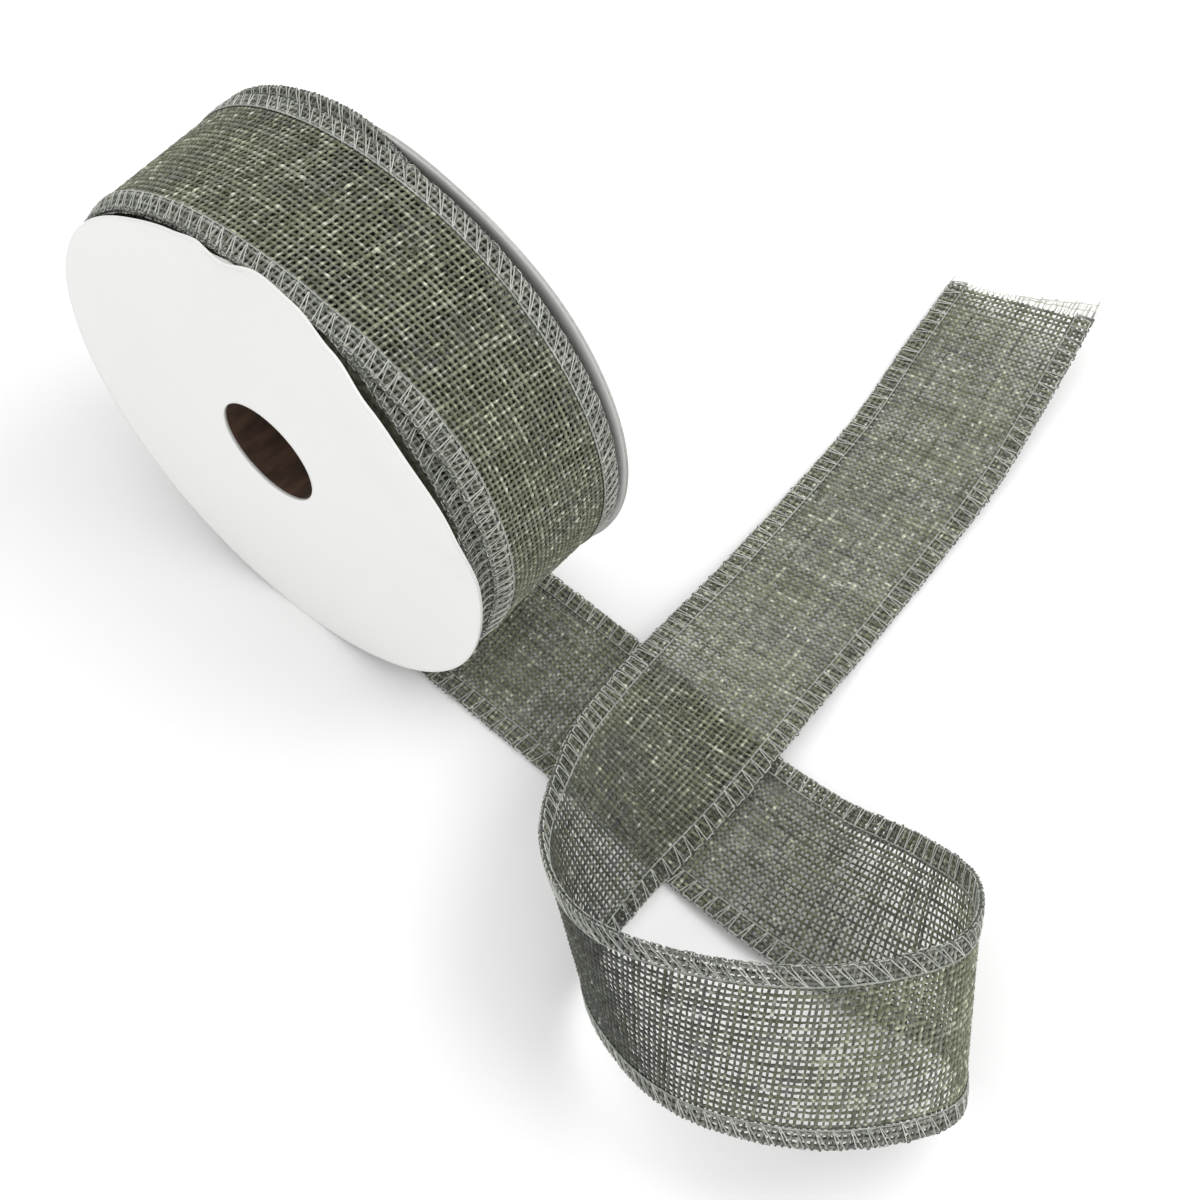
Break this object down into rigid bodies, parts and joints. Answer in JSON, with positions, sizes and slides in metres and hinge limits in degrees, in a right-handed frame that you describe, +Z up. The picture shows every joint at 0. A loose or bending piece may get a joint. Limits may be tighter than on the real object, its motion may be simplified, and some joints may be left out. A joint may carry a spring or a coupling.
{
  "type": "ribbon spool",
  "caption": "Spool of wired burlap ribbon between two thin white card flanges on a kraft core, its free end laid out in a standing loop that crosses over itself.",
  "frame": {"origin": "centre of the hub bore, midway between the flanges' outer faces", "axes": "+Y along the spool's axis from the flange beside the roll towards the flange with the wider gap, +X the way the free ribbon leaves the roll along the floor, +Z up"},
  "size_m": [0.2496, 0.2177, 0.119],
  "materials": {
    "white_card": "glossy coated",
    "kraft_board": "matte",
    "tape": "satin",
    "burlap": "open plain weave of slubby yarn",
    "overlock_thread": "overlocked thread",
    "edge_wire": "thin annealed wire"
  },
  "bodies": {
    "free_ribbon": {"tail_cloth": "burlap", "tail_edge_near": "overlock_thread", "tail_edge_far": "overlock_thread", "tail_wire_near": "edge_wire", "tail_wire_far": "edge_wire"},
    "spool": {"near_flange": "white_card", "far_flange": "white_card", "core_tube": "kraft_board", "core_tape": "tape", "wound_cloth": "burlap", "wound_edge_near": "overlock_thread", "wound_edge_far": "overlock_thread", "wound_wire_near": "edge_wire", "wound_wire_far": "edge_wire"}
  },
  "joints": [
    {"name": "spool_spin", "type": "hinge", "parent": "free_ribbon", "child": "spool", "pos_m": [0, 0, 0], "axis": [0, -1, 0], "continuous": true}
  ]
}
